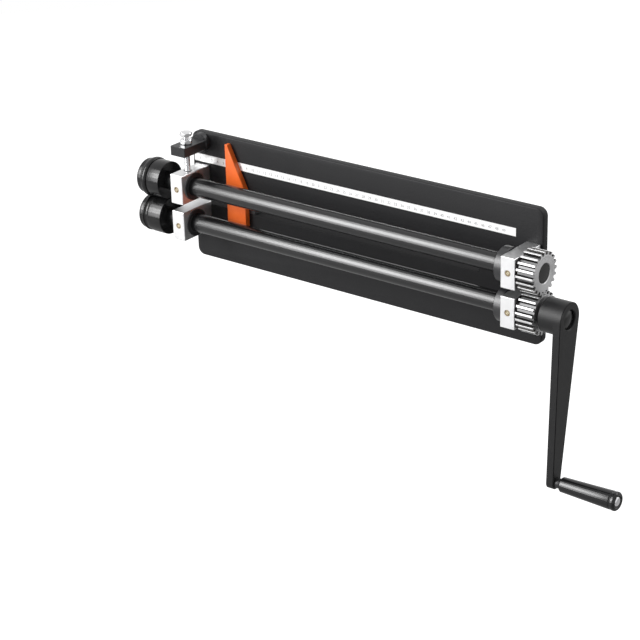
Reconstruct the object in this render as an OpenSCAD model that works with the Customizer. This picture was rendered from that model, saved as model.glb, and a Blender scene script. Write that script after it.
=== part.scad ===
// Hand-cranked bead roller on a slotted frame plate, with a pair of beading rolls.
// X runs along the shafts towards the crank, Y away from the operator, Z up.
// The origin is the middle of the bench flange's bolt pattern, on its underside.

/* [Frame plate] */
// Length of the frame plate along the shafts
plate_l = 548; // [520:1:584]
// Reach of the frame plate below the middle of the two shafts
plate_under = 87.2; // [80:0.1:100]
// Height of the plate's top edge above the screw arm's boss
plate_over = 0; // [0:0.5:5]
// Thickness of the frame plate
plate_t = 11; // [8:0.1:13]
// Radius of the plate's corners
plate_corner_r = 10.5; // [6:0.5:16]
// Rounding of the plate's edges
plate_edge_r = 1.5; // [0.8:0.1:2.4]
// Length of solid plate past the end of the throat
throat_rest = 90.4; // [80:0.1:132]
// Height of the throat
throat_h = 20; // [16:0.5:22]
// Radius of the throat's inner corners
throat_end_r = 5; // [2.5:0.5:7]

/* [Shafts] */
// Distance between the two shaft axes
shaft_gap = 50.8; // [50:0.1:53]
// Diameter of both shafts
shaft_d = 25; // [22.5:0.5:26]
// Distance of the shaft axes in front of the plate
shaft_off = 33; // [31:0.1:37]
// Diameter of the shaft noses that carry the rolls
nose_d = 20; // [16:0.5:21]
// Length of shaft between a left block and its roll
die_gap = 22.6; // [16:0.1:29]

/* [Bearing blocks] */
// Width of a bearing block along the shaft
block_w = 20; // [18:0.5:23]
// Height of a bearing block
block_h = 40; // [38:0.5:42]
// Depth of a bearing block in front of the shaft axis
block_front = 24.2; // [22.5:0.1:27]
// Distance of the left blocks from the plate's left end
block_inset = 8.2; // [5:0.1:13]
// Distance of the right blocks from the plate's right end
right_inset = 3; // [1:0.5:6.5]
// Chamfer on the blocks' edges
block_edge = 0.6; // [0.3:0.1:1.2]
// Wall of the bearing bushes
bush_wall = 3.5; // [2.5:0.25:4]
// Diameter of the brass oil plugs
plug_d = 8; // [6.5:0.5:9.5]

/* [Gears] */
// Number of teeth of each gear
gear_teeth = 20; // [18:1:24]
// Width of the gears
gear_w = 23.6; // [19:0.1:27]
// Gap between the right blocks and the gears
gear_gap = 2.6; // [1.6:0.1:4]
// Height of a tooth above the pitch circle, as a share of the gear's module
tooth_top_share = 0.7; // [0.65:0.05:0.9]
// Play between the gear teeth
backlash = 0.4; // [0.3:0.05:0.5]

/* [Collars] */
// Diameter of the shaft collars
collar_d = 45; // [40:1:46]
// Width of the shaft collars
collar_w = 11; // [9:0.5:14]

/* [Rolls] */
// Width of a roll
die_w = 32; // [27:0.5:37]
// Gap between the two rolls
roll_gap = 0.4; // [0.3:0.1:1]
// Width of the bead ridge on the upper roll
bead_w = 8; // [5.5:0.5:9.5]
// Height of the bead ridge
bead_h = 1.8; // [1.2:0.1:2.4]
// Distance of the bead's middle from the roll's outer end
bead_x = 6.4; // [6:0.1:11]
// Diameter of the retaining caps on the rolls' outer ends
cap_d = 47.2; // [40:0.1:48.8]
// Thickness of the retaining caps
cap_t = 7.2; // [5:0.1:9]

/* [Screw arm] */
// Width of the arm over the sliding block
bar_w = 24.4; // [22.5:0.1:26.8]
// Height of the arm's section
bar_h = 13.2; // [11:0.1:16]
// Reach of the arm in front of the shaft axis
bar_front = 18; // [14.5:0.5:22.5]
// Gap between the ruler tape and the arm's boss
boss_over = 4.3; // [2.5:0.1:6.5]
// Diameter of the round boss at the plate
boss_d = 26.8; // [25:0.1:28]
// Length of the round boss
boss_l = 8.8; // [5.6:0.1:11.2]

/* [Press screw] */
// Diameter of the press screw
screw_d = 8; // [6.5:0.1:9]
// Width across the flats of the press screw's head and of its lock nut
hex_af = 15; // [13:0.5:16]
// Height of the screw's head
head_h = 5.3; // [4:0.1:6.5]
// Height of the lock nut
nut_h = 6.5; // [5:0.1:7.5]
// Bare length of screw between the lock nut and the head
screw_spare = 4.4; // [2.5:0.1:9.5]

/* [Crank] */
// Distance between the shaft axis and the handle axis
crank_l = 207.6; // [176:0.1:224]
// Angle of the crank from straight down, towards the operator
crank_tilt = 6; // [0:0.1:12]
// Diameter of the crank's hub
hub_d = 43.2; // [37:0.1:45]
// Length of the hub behind the arm
hub_l = 21.2; // [16:0.1:26]
// Gap between the lower gear and the hub
hub_gap = 4.6; // [3.2:0.1:7.2]
// Thickness of the crank's arm
arm_t = 10; // [8:0.5:13]
// Width of the crank's arm at the handle
arm_end_d = 17.3; // [14.5:0.1:21]

/* [Handle] */
// Length of the grip
grip_l = 78.8; // [64:0.1:96]
// Diameter of the grip at the crank
grip_d_in = 19; // [17.5:0.1:21.5]
// Diameter of the grip at its free end
grip_d_out = 24.2; // [21.5:0.1:27.5]
// Diameter of the pin that the grip turns on
pin_d = 8; // [6.5:0.1:9]
// Diameter of the pin's head
pin_head_d = 12.4; // [11:0.1:13.6]

/* [Stop gauge] */
// Width of the stop gauge
gauge_w = 31.6; // [27:0.1:37]
// Thickness of the stop gauge
gauge_t = 7.6; // [5:0.1:9.6]
// Height of the gauge's tip above the middle of the throat
gauge_rise = 82.4; // [64:0.1:84]
// Reach of the gauge below the middle of the throat
gauge_drop = 35.2; // [27:0.1:42]
// Height of the gauge's shoulder, where its slope ends
gauge_shoulder = 24; // [16:0.5:32]
// Distance of the gauge's straight edge from the plate's left end
gauge_x = 62.4; // [60:0.1:88]

/* [Ruler] */
// Length of bare plate past the tape's right end
tape_rest = 38.2; // [32:0.1:96]
// Height of the ruler tape
tape_h = 10.6; // [9:0.1:11.2]
// Height of the tape's lower edge above the sliding block
tape_over = 2.5; // [2:0.1:5]

/* [Bench flange] */
// Length of the bench flange
flange_l = 290; // [256:1:336]
// Width of the leg that lies on the bench
flange_leg = 50; // [48:1:64]
// Height of the leg that is welded to the plate
flange_up = 44; // [36:1:46]
// Thickness of both legs
flange_t = 5; // [3.2:0.1:6.4]
// Distance of the flange's middle to the right of the plate's middle
flange_shift = 22; // [10:1:34]
// Distance of the seat below the middle of the two shafts
seat_drop = 68; // [68:1:74]
// Diameter of the four bench bolt holes
flange_hole_d = 9; // [7:0.5:10]
// Spacing of the bolt holes along the flange
hole_span_x = 240; // [208:1:240]
// Spacing of the bolt holes across the flange
hole_span_y = 22; // [19:1:24]
// Distance of the bolt pattern's middle behind the plate
hole_y = 30; // [29:1:32]

/* [Hidden] */
$fn = 72;

// Clearance of a shaft or pin in its hole, all round
run_fit = 0.05;
// Clearance of a seated piece in its hole, all round
seat_fit = 0.02;
// Gap of a part that slides on a flat face
slide_fit = 0.1;
// Overrun of a cut past the face it opens
cut = 1;

// Heights of the axes and places of the main faces
mid_z = seat_drop;
upper_z = mid_z + shaft_gap / 2;
lower_z = mid_z - shaft_gap / 2;
back_y = -hole_y;
front_y = back_y - plate_t;
axis_y = front_y - shaft_off;
left_x = -plate_l / 2 - flange_shift;
right_x = left_x + plate_l;
throat_l = plate_l - throat_rest;
throat_x = left_x + throat_l;
left_block_x = left_x + block_inset;
right_block_x = right_x - right_inset - block_w;
die_x = left_block_x - die_gap;
gear_x = right_block_x + block_w + gear_gap;
gear_end_x = gear_x + gear_w;
hub_x = gear_end_x + hub_gap;
arm_x = hub_x + hub_l;
arm_end_x = arm_x + arm_t;
bar_x = left_block_x + block_w / 2;
tape_z = upper_z + block_h / 2 + tape_over;
bar_z = tape_z + tape_h + boss_over + boss_d / 2;
plate_h = bar_z + boss_d / 2 + plate_over - mid_z + plate_under;
plate_z = mid_z - plate_under + plate_h / 2;

// Colours of the finishes
black_coat = [0.10, 0.10, 0.11];
black_oxide = [0.13, 0.13, 0.14];
bright_steel = [0.78, 0.78, 0.80];
dark_steel = [0.30, 0.30, 0.32];
brass = [0.80, 0.65, 0.30];
orange_paint = [0.95, 0.33, 0.08];

// A round bar along X, Y or Z from its starting point
module rod_x(x, y, z, d, l) { translate([x, y, z]) rotate([0, 90, 0]) cylinder(d = d, h = l); }
module rod_y(x, y, z, d, l) { translate([x, y, z]) rotate([-90, 0, 0]) cylinder(d = d, h = l); }
module rod_z(x, y, z, d, l) { translate([x, y, z]) cylinder(d = d, h = l); }

// A ring along X with a bore all through it
module ring_x(x, y, z, d_out, d_in, l) {
    difference() {
        rod_x(x, y, z, d_out, l);
        rod_x(x - cut, y, z, d_in, l + 2 * cut);
    }
}

// A turned solid along X, from a half profile of [place along X, radius] points
module turned_x(x, y, z, profile) {
    points = [for (p = profile) [p[1], p[0]]];
    translate([x, y, z]) rotate([0, 90, 0]) rotate_extrude() polygon(points);
}

// A rectangle with its four corners cut at 45 degrees, from the corner at zero
module cut_rectangle(w, h, c) {
    polygon([[c, 0], [w - c, 0], [w, c], [w, h - c], [w - c, h], [c, h], [0, h - c], [0, c]]);
}

// A box with every edge chamfered, from the corner at zero
module chamfer_box(w, d, h, c) {
    intersection() {
        linear_extrude(h) cut_rectangle(w, d, c);
        translate([0, d, 0]) rotate([90, 0, 0]) linear_extrude(d) cut_rectangle(w, h, c);
        rotate([90, 0, 90]) linear_extrude(w) cut_rectangle(d, h, c);
    }
}

// A hexagonal prism along Z with its upper corners turned off
hex_chamfer_share = 0.12;
module hex_z(af, h) {
    corner = af / cos(30);
    drop = af * hex_chamfer_share;
    intersection() {
        cylinder(d = corner, h = h, $fn = 6);
        union() {
            cylinder(d = corner + cut, h = h - drop);
            translate([0, 0, h - drop]) cylinder(d1 = corner, d2 = corner - 2 * drop, h = drop);
        }
    }
}

// A hexagonal socket to cut into a screw's end, opening towards +Z at z = 0
module hex_socket(af, depth) {
    translate([0, 0, -depth]) cylinder(d = af / cos(30), h = depth + cut, $fn = 6);
}

// Frame plate: sizes of the holes that its fasteners pass through
block_screw_d = 6;
block_screw_play = 0.4;
block_screw_span = 16;
block_screw_depth = 13;
arm_bolt_d = 8;
arm_bolt_depth = 18;
guide_d = 10;
guide_play = 0.25;
guide_span = 16;
lift_travel = 6.5;
guide_slot_end = 1.6;

// The throat, open at the plate's left end, with rounded inner corners
module throat_cut() {
    corner_x = throat_x - throat_end_r;
    corner_z = throat_h / 2 - throat_end_r;
    translate([left_x - cut, front_y - cut, mid_z - throat_h / 2])
        cube([throat_l - throat_end_r + cut, plate_t + 2 * cut, throat_h]);
    translate([left_x, front_y - cut, mid_z - corner_z])
        cube([throat_l, plate_t + 2 * cut, 2 * corner_z]);
    for (s = [-1, 1]) {
        rod_y(corner_x, front_y - cut, mid_z + s * corner_z, 2 * throat_end_r, plate_t + 2 * cut);
    }
}

// The upright slot that the sliding block's studs travel in
module guide_slot_cut() {
    slot_d = guide_d + 2 * guide_play;
    low_z = upper_z - guide_span / 2;
    high_z = upper_z + guide_span / 2 + lift_travel + guide_slot_end;
    translate([bar_x - slot_d / 2, front_y - cut, low_z])
        cube([slot_d, plate_t + 2 * cut, high_z - low_z]);
    for (z = [low_z, high_z]) {
        rod_y(bar_x, front_y - cut, z, slot_d, plate_t + 2 * cut);
    }
}

// Middles of the three fixed blocks, as [x, z]
fixed_blocks = [[bar_x, lower_z], [right_block_x + block_w / 2, lower_z],
    [right_block_x + block_w / 2, upper_z]];

module frame_plate() {
    reach_x = plate_l / 2 - plate_corner_r;
    reach_z = plate_h / 2 - plate_corner_r;
    r = plate_corner_r;
    e = plate_edge_r;
    steps = [0, 30, 60, 90];
    // half profile of a corner post with rounded rims
    profile = concat([[0, 0]], [for (a = steps) [r - e + e * sin(a), e - e * cos(a)]],
        [for (a = steps) [r - e + e * cos(a), plate_t - e + e * sin(a)]], [[0, plate_t]]);
    color(black_coat) difference() {
        translate([left_x + plate_l / 2, front_y, plate_z]) hull() {
            for (sx = [-1, 1], sz = [-1, 1]) {
                translate([sx * reach_x, 0, sz * reach_z]) rotate([-90, 0, 0])
                    rotate_extrude($fn = 48) polygon(profile);
            }
        }
        throat_cut();
        guide_slot_cut();
        for (b = fixed_blocks, s = [-1, 1]) {
            rod_y(b[0], front_y - cut, b[1] + s * block_screw_span / 2,
                block_screw_d + 2 * block_screw_play, plate_t + 2 * cut);
        }
        rod_y(bar_x, front_y - cut, bar_z, arm_bolt_d + 2 * block_screw_play, plate_t + 2 * cut);
    }
}

// Ruler tape stuck to the plate's face
tape_t = 0.3;
tape_inset = 2.6;
module ruler_tape() {
    tape_l = plate_l - tape_inset - tape_rest;
    color("white") translate([left_x + tape_inset, front_y - tape_t, tape_z])
        cube([tape_l, tape_t, tape_h]);
}

// Arm that holds the press screw: a flat bar milled from a round boss
bar_edge = 0.6;
boss_edge = 1.2;
module screw_arm() {
    bar_l = bar_front + shaft_off - boss_l;
    color(black_oxide) difference() {
        union() {
            translate([bar_x - bar_w / 2, axis_y - bar_front, bar_z - bar_h / 2])
                chamfer_box(bar_w, bar_l + boss_l / 2, bar_h, bar_edge);
            rod_y(bar_x, front_y - boss_l + boss_edge, bar_z, boss_d, boss_l - boss_edge);
            translate([bar_x, front_y - boss_l, bar_z]) rotate([-90, 0, 0])
                cylinder(d1 = boss_d - 2 * boss_edge, d2 = boss_d, h = boss_edge);
        }
        rod_z(bar_x, axis_y, bar_z - bar_h, screw_d + 2 * run_fit, 2 * bar_h);
        rod_y(bar_x, front_y - arm_bolt_depth - cut, bar_z, arm_bolt_d + 2 * seat_fit,
            arm_bolt_depth + 2 * cut);
    }
}

// Bolt and washer that hold the arm from behind
washer_t = 1.6;
washer_wide = 17;
bolt_af = 13;
bolt_head_h = 5.3;
module arm_bolt() {
    color(dark_steel) union() {
        rod_y(bar_x, front_y - arm_bolt_depth, bar_z, arm_bolt_d, arm_bolt_depth + plate_t + washer_t);
        rod_y(bar_x, back_y, bar_z, washer_wide, washer_t);
        translate([bar_x, back_y + washer_t, bar_z]) rotate([-90, 0, 0]) hex_z(bolt_af, bolt_head_h);
    }
}

// Angle bar welded behind the lower arm of the plate, with four holes for bench bolts
module bench_flange() {
    color(black_coat) difference() {
        union() {
            translate([-flange_l / 2, back_y, 0]) cube([flange_l, flange_leg, flange_t]);
            translate([-flange_l / 2, back_y, 0]) cube([flange_l, flange_t, flange_up]);
        }
        for (sx = [-1, 1], sy = [-1, 1]) {
            rod_z(sx * hole_span_x / 2, sy * hole_span_y / 2, -cut, flange_hole_d, flange_t + 2 * cut);
        }
    }
}

// Weld beads along the top of the angle's upright leg
weld_leg = 3.2;
weld_count = 4;
weld_l = 40;
module flange_welds() {
    pitch = (flange_l - weld_l) / (weld_count - 1);
    color(black_coat) for (i = [0 : weld_count - 1]) {
        translate([-flange_l / 2 + i * pitch, back_y, flange_up]) rotate([90, 0, 90])
            linear_extrude(weld_l) polygon([[0, 0], [weld_leg, 0], [0, weld_leg]]);
    }
}

// Bearing blocks: sizes of the bush seat, oil plug, pad recess and rear threads
bush_d = shaft_d + 2 * bush_wall;
plug_l = 6.5;
oil_hole_d = 2.5;
pad_d = 10;
pad_t = 2.5;
pad_play = 0.5;
pad_gap = 0.15;

// One bearing block with its bore, oil hole and two rear threads, gap is its distance to the plate
// and bore_fit the clearance round its bush
module bearing_block(x, z, gap, bore_fit) {
    depth = block_front + shaft_off - gap;
    difference() {
        translate([x, axis_y - block_front, z - block_h / 2])
            chamfer_box(block_w, depth, block_h, block_edge);
        rod_x(x - cut, axis_y, z, bush_d + 2 * bore_fit, block_w + 2 * cut);
        rod_y(x + block_w / 2, axis_y - block_front - cut, z, plug_d + 2 * seat_fit, plug_l + cut);
        rod_y(x + block_w / 2, axis_y - block_front, z, oil_hole_d, block_front);
        for (s = [-1, 1]) {
            rod_y(x + block_w / 2, front_y - block_screw_depth - cut, z + s * block_screw_span / 2,
                block_screw_d + 2 * seat_fit, block_screw_depth + 2 * cut);
        }
    }
}

module lower_die_block() {
    color(bright_steel) bearing_block(left_block_x, lower_z, 0, seat_fit);
}
module upper_drive_block() {
    color(bright_steel) bearing_block(right_block_x, upper_z, 0, run_fit);
}
module lower_drive_block() {
    color(bright_steel) bearing_block(right_block_x, lower_z, 0, seat_fit);
}

// The sliding block has a recess for the screw's pad, a small gap to the plate, and a relief
// behind its upper edge that passes over the ruler tape as the block is raised
tape_gap = 0.3;
module upper_die_block() {
    top_z = upper_z + block_h / 2;
    relief_z = tape_z - lift_travel - tape_gap;
    relief_t = tape_t + tape_gap;
    color(bright_steel) difference() {
        bearing_block(left_block_x, upper_z, slide_fit, seat_fit);
        rod_z(bar_x, axis_y, top_z - pad_t - pad_gap, pad_d + 2 * pad_play, pad_t + pad_gap + cut);
        if (relief_z < top_z) {
            translate([left_block_x - cut, front_y - relief_t, relief_z])
                cube([block_w + 2 * cut, relief_t + cut, top_z - relief_z + cut]);
        }
    }
}

// Bushes: the left ones have a dark flange, the right ones stand proud as thrust faces
bush_flange_t = 1.6;
bush_flange_wide = 2.4;
bush_proud = 0.3;
module flanged_bush(z) {
    face_x = left_block_x + block_w;
    color(black_oxide) difference() {
        union() {
            rod_x(left_block_x, axis_y, z, bush_d, block_w + bush_flange_t);
            rod_x(face_x, axis_y, z, bush_d + 2 * bush_flange_wide, bush_flange_t);
        }
        rod_x(left_block_x - cut, axis_y, z, shaft_d + 2 * run_fit, block_w + bush_flange_t + 2 * cut);
        rod_y(bar_x, axis_y - bush_d, z, oil_hole_d, bush_d);
    }
}
module lower_die_bush() { flanged_bush(lower_z); }
module upper_die_bush() { flanged_bush(upper_z); }

module lower_drive_bush() {
    color(brass) difference() {
        ring_x(right_block_x - bush_proud, axis_y, lower_z, bush_d, shaft_d + 2 * run_fit,
            block_w + 2 * bush_proud);
        rod_y(right_block_x + block_w / 2, axis_y - bush_d, lower_z, oil_hole_d, bush_d);
    }
}

// The upper right bush is crowned, so the shaft can tilt in its block
crown_drop = 0.3;
crown_shares = [-1, -0.75, -0.5, -0.25, 0, 0.25, 0.5, 0.75, 1];
module upper_drive_bush() {
    half_l = block_w / 2 + bush_proud;
    r = bush_d / 2;
    crown_r = (half_l * half_l + crown_drop * crown_drop) / (2 * crown_drop);
    crown = [for (s = crown_shares)
        [s * half_l, r - crown_r + sqrt(crown_r * crown_r - pow(s * half_l, 2))]];
    inner_r = shaft_d / 2 + run_fit;
    profile = concat([[-half_l, inner_r]], crown, [[half_l, inner_r]]);
    color(brass) difference() {
        turned_x(right_block_x + block_w / 2, axis_y, upper_z, profile);
        rod_y(right_block_x + block_w / 2, axis_y - bush_d, upper_z, oil_hole_d, bush_d);
    }
}

// Slotted brass plug that closes a block's oil hole
plug_slot_w = 1.3;
plug_slot_deep = 1;
plug_sunk = 0.25;
module oil_plug(x, z) {
    face_y = axis_y - block_front + plug_sunk;
    difference() {
        rod_y(x, face_y, z, plug_d, plug_l - plug_sunk);
        translate([x, face_y, z]) rotate([0, 45, 0])
            translate([-plug_d, -cut, -plug_slot_w / 2])
                cube([2 * plug_d, cut + plug_slot_deep, plug_slot_w]);
    }
}
module oil_plugs() {
    color(brass) for (b = fixed_blocks) {
        oil_plug(b[0], b[1]);
    }
}
module sliding_block_plug() { color(brass) oil_plug(bar_x, upper_z); }

// Socket head screws that hold the three fixed blocks from behind
socket_head_wide = 10;
socket_head_h = 6;
socket_af = 5;
socket_deep = 3;
module block_screws() {
    color(dark_steel) for (b = fixed_blocks, s = [-1, 1]) {
        z = b[1] + s * block_screw_span / 2;
        difference() {
            union() {
                rod_y(b[0], front_y - block_screw_depth, z, block_screw_d, block_screw_depth + plate_t);
                rod_y(b[0], back_y, z, socket_head_wide, socket_head_h);
            }
            translate([b[0], back_y + socket_head_h, z]) rotate([-90, 0, 0])
                hex_socket(socket_af, socket_deep);
        }
    }
}

// Studs of the sliding block: each has a thread in the block and a shoulder in the plate's slot
guide_shoulder = plate_t + slide_fit;
guide_plate_w = 24;
guide_plate_t = 4;
guide_thread_l = 7;
guide_nut_af = 10;
guide_nut_h = 5;
module guide_studs() {
    shoulder_y = front_y - slide_fit;
    color(dark_steel) for (s = [-1, 1]) {
        z = upper_z + s * guide_span / 2;
        rod_y(bar_x, front_y - block_screw_depth, z, block_screw_d, block_screw_depth - slide_fit);
        rod_y(bar_x, shoulder_y, z, guide_d, guide_shoulder + slide_fit);
        rod_y(bar_x, back_y + slide_fit, z, block_screw_d, guide_plate_t + guide_thread_l);
    }
}

// Plate that bridges both studs behind the frame plate
module guide_plate() {
    reach = guide_span / 2 + guide_d;
    color(dark_steel) difference() {
        translate([bar_x - guide_plate_w / 2, back_y + slide_fit, upper_z - reach])
            chamfer_box(guide_plate_w, guide_plate_t, 2 * reach, block_edge);
        for (s = [-1, 1]) {
            rod_y(bar_x, back_y - cut, upper_z + s * guide_span / 2, block_screw_d + 2 * seat_fit,
                guide_plate_t + 2 * cut);
        }
    }
}

module guide_nuts() {
    nut_y = back_y + slide_fit + guide_plate_t;
    color(dark_steel) for (s = [-1, 1]) {
        difference() {
            translate([bar_x, nut_y, upper_z + s * guide_span / 2]) rotate([-90, 0, 0])
                hex_z(guide_nut_af, guide_nut_h);
            rod_y(bar_x, nut_y - cut, upper_z + s * guide_span / 2, block_screw_d + 2 * seat_fit,
                guide_nut_h + 2 * cut);
        }
    }
}

// Press screw, its swivel pad in the sliding block's top, and the lock nut on the arm
tip_d = 5;
tip_l = 1.2;
tip_gap = 0.05;
pad_top_z = upper_z + block_h / 2;
bar_top_z = bar_z + bar_h / 2;
module screw_pad() {
    color(dark_steel) difference() {
        rod_z(bar_x, axis_y, pad_top_z - pad_t, pad_d, pad_t);
        rod_z(bar_x, axis_y, pad_top_z - tip_l - tip_gap, tip_d + 2 * run_fit, tip_l + cut);
    }
}

module press_screw() {
    head_z = bar_top_z + nut_h + screw_spare;
    start_z = pad_top_z + tip_gap;
    color(bright_steel) union() {
        rod_z(bar_x, axis_y, start_z - tip_l, tip_d, tip_l + tip_gap);
        rod_z(bar_x, axis_y, start_z, screw_d, head_z - start_z);
        translate([bar_x, axis_y, head_z]) hex_z(hex_af, head_h);
    }
}

module lock_nut() {
    color(bright_steel) difference() {
        translate([bar_x, axis_y, bar_top_z + tip_gap]) hex_z(hex_af, nut_h);
        rod_z(bar_x, axis_y, bar_top_z - cut, screw_d + 2 * run_fit, nut_h + 2 * cut);
    }
}

// Cone to cut at the right end of a bore that ends at x
module bore_chamfer(x, y, z, d) {
    translate([x - bore_edge, y, z]) rotate([0, 90, 0])
        cylinder(d1 = d, d2 = d + 4 * bore_edge, h = 2 * bore_edge);
}

// Shafts: a shouldered nose for the roll, keyways, and a threaded hole for the roll's bolt
nose_short = 0.4;
shaft_edge = 0.5;
bore_edge = 0.8;
die_bolt_d = 8;
die_bolt_depth = 20;
bolt_end_gap = 1;
key_w = 6;
key_h = 6;
key_sunk = 3.5;
gear_key_l = 16;
die_key_w = 5;
die_key_h = 5;
die_key_sunk = 3;
die_key_l = 24;

module shaft(z, end_x) {
    nose_l = die_w - nose_short;
    length = end_x - die_x;
    profile = [[-nose_l, 0], [-nose_l, nose_d / 2 - shaft_edge], [-nose_l + shaft_edge, nose_d / 2],
        [0, nose_d / 2], [0, shaft_d / 2], [length - shaft_edge, shaft_d / 2],
        [length, shaft_d / 2 - shaft_edge], [length, 0]];
    difference() {
        turned_x(die_x, axis_y, z, profile);
        rod_x(die_x - nose_l - cut, axis_y, z, die_bolt_d + 2 * seat_fit, die_bolt_depth + cut);
        // keyway of the gear
        translate([gear_x, axis_y - key_w / 2, z + shaft_d / 2 - key_sunk])
            cube([gear_key_l, key_w, key_sunk + cut]);
        // keyway of the roll
        translate([die_x - die_key_l, axis_y - die_key_w / 2, z + nose_d / 2 - die_key_sunk])
            cube([die_key_l, die_key_w, die_key_sunk + cut]);
    }
}
shaft_end_sunk = 1.2;
module upper_shaft() { color(black_oxide) shaft(upper_z, gear_end_x - shaft_end_sunk / 2); }
module lower_shaft() { color(black_oxide) shaft(lower_z, arm_end_x - shaft_end_sunk); }

// Collar that takes the shaft's thrust, with a set screw towards the plate
collar_gap = 0.1;
collar_screw_d = 5;
collar_edge = 0.6;
module collar(z) {
    x = right_block_x - bush_proud - collar_gap - collar_w;
    difference() {
        turned_x(x, axis_y, z, [[0, shaft_d / 2 + seat_fit], [0, collar_d / 2 - collar_edge],
            [collar_edge, collar_d / 2], [collar_w - collar_edge, collar_d / 2],
            [collar_w, collar_d / 2 - collar_edge], [collar_w, shaft_d / 2 + seat_fit]]);
        rod_y(x + collar_w / 2, axis_y, z, collar_screw_d + 2 * seat_fit, collar_d);
    }
}
module collar_screw(z) {
    x = right_block_x - bush_proud - collar_gap - collar_w / 2;
    start = shaft_d / 2 + tip_gap;
    length = collar_d / 2 - shaft_d / 2 - 2 * collar_edge;
    difference() {
        rod_y(x, axis_y + start, z, collar_screw_d, length);
        translate([x, axis_y + start + length, z]) rotate([-90, 0, 0])
            hex_socket(collar_screw_d / 2, collar_screw_d / 2);
    }
}
module upper_collar() { color(black_oxide) collar(upper_z); }
module lower_collar() { color(black_oxide) collar(lower_z); }
module upper_collar_screw() { color(dark_steel) collar_screw(upper_z); }
module lower_collar_screw() { color(dark_steel) collar_screw(lower_z); }

// Spur gears with involute teeth
pressure_angle = 20;
gear_module = shaft_gap / gear_teeth;
pitch_r = shaft_gap / 2;
tip_r = pitch_r + tooth_top_share * gear_module;
root_gap_share = 0.25;
root_r = pitch_r - (tooth_top_share + root_gap_share) * gear_module;
base_r = pitch_r * cos(pressure_angle);
flank_shares = [0, 0.25, 0.5, 0.75, 1];

// Involute of an angle, in degrees
function inv(a) = tan(a) * 180 / PI - a;
// Half of a tooth's angle at radius r
function tooth_half(r) = 90 / gear_teeth - backlash / pitch_r * 45 / PI
    + inv(pressure_angle) - inv(acos(min(1, base_r / r)));
function polar(r, a) = [r * cos(a), r * sin(a)];

module gear_outline(phase) {
    low_r = max(base_r, root_r);
    radii = [for (s = flank_shares) low_r + s * (tip_r - low_r)];
    last = len(radii) - 1;
    points = [for (i = [0 : gear_teeth - 1]) let (a = phase + i * 360 / gear_teeth)
        each concat([polar(root_r, a - tooth_half(low_r))],
            [for (r = radii) polar(r, a - tooth_half(r))],
            [for (j = [0 : last]) polar(radii[last - j], a + tooth_half(radii[last - j]))],
            [polar(root_r, a + tooth_half(low_r))])];
    polygon(points);
}

module gear(z, phase) {
    difference() {
        translate([gear_x, axis_y, z]) rotate([90, 0, 90]) linear_extrude(gear_w) gear_outline(phase);
        rod_x(gear_x - cut, axis_y, z, shaft_d + 2 * seat_fit, gear_w + 2 * cut);
        bore_chamfer(gear_end_x, axis_y, z, shaft_d + 2 * seat_fit);
        translate([gear_x - cut, axis_y - key_w / 2, z])
            cube([gear_key_l + cut, key_w, shaft_d / 2 + key_h - key_sunk + slide_fit]);
    }
}
// The upper gear has a tooth straight down, and the lower gear a gap straight up
module upper_gear() { color(bright_steel) gear(upper_z, -90); }
module lower_gear() { color(bright_steel) gear(lower_z, 90 + 180 / gear_teeth); }

module gear_key(z) {
    translate([gear_x, axis_y - key_w / 2 + seat_fit, z + shaft_d / 2 - key_sunk])
        cube([gear_key_l - seat_fit, key_w - 2 * seat_fit, key_h]);
}
module upper_gear_key() { color(dark_steel) gear_key(upper_z); }
module lower_gear_key() { color(dark_steel) gear_key(lower_z); }

// Rolls: the upper one has a bead ridge, the lower one the matching groove
die_r = (shaft_gap - roll_gap) / 2;
die_edge = 1;
relief_w = 1.2;
relief_deep = 0.6;
arc_steps = [for (i = [1 : 9]) i * 18];

module die_blank(z, profile) {
    difference() {
        turned_x(die_x - die_w, axis_y, z, profile);
        rod_x(die_x - die_w - cut, axis_y, z, nose_d + 2 * seat_fit, die_w + 2 * cut);
        translate([die_x - die_w - cut, axis_y - die_key_w / 2, z])
            cube([die_w + 2 * cut, die_key_w, nose_d / 2 + die_key_h - die_key_sunk + slide_fit]);
    }
}

// A bead's half-ellipse between two radii: rise is positive for a ridge, negative for a groove
function bead_arc(w, rise) = [for (a = arc_steps) [bead_x - w / 2 * cos(a), die_r + rise * sin(a)]];

module upper_die() {
    ridge_end = bead_x + bead_w / 2;
    color(black_oxide) die_blank(upper_z, concat([[0, 0], [0, die_r - die_edge], [die_edge, die_r]],
        bead_arc(bead_w, bead_h),
        [[ridge_end, die_r - relief_deep], [ridge_end + relief_w, die_r - relief_deep],
            [ridge_end + relief_w, die_r], [die_w - die_edge, die_r], [die_w, die_r - die_edge],
            [die_w, 0]]));
}

module lower_die() {
    groove_w = bead_w + 2 * roll_gap;
    color(black_oxide) die_blank(lower_z, concat([[0, 0], [0, die_r - die_edge], [die_edge, die_r]],
        bead_arc(groove_w, -bead_h - roll_gap / 2),
        [[die_w - die_edge, die_r], [die_w, die_r - die_edge], [die_w, 0]]));
}

module die_key(z) {
    translate([die_x - die_key_l + seat_fit, axis_y - die_key_w / 2 + seat_fit,
        z + nose_d / 2 - die_key_sunk])
        cube([die_key_l - 2 * seat_fit, die_key_w - 2 * seat_fit, die_key_h]);
}
module upper_die_key() { color(dark_steel) die_key(upper_z); }
module lower_die_key() { color(dark_steel) die_key(lower_z); }

// Cap and bolt that hold a roll on its nose
cap_edge = 1.2;
module die_cap(z) {
    profile = [[0, die_bolt_d / 2 + seat_fit], [0, cap_d / 2 - cap_edge], [cap_edge, cap_d / 2],
        [cap_t - cap_edge / 2, cap_d / 2], [cap_t, cap_d / 2 - cap_edge / 2],
        [cap_t, die_bolt_d / 2 + seat_fit]];
    turned_x(die_x - die_w - cap_t, axis_y, z, profile);
}
module upper_die_cap() { color(black_oxide) die_cap(upper_z); }
module lower_die_cap() { color(black_oxide) die_cap(lower_z); }

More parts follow.
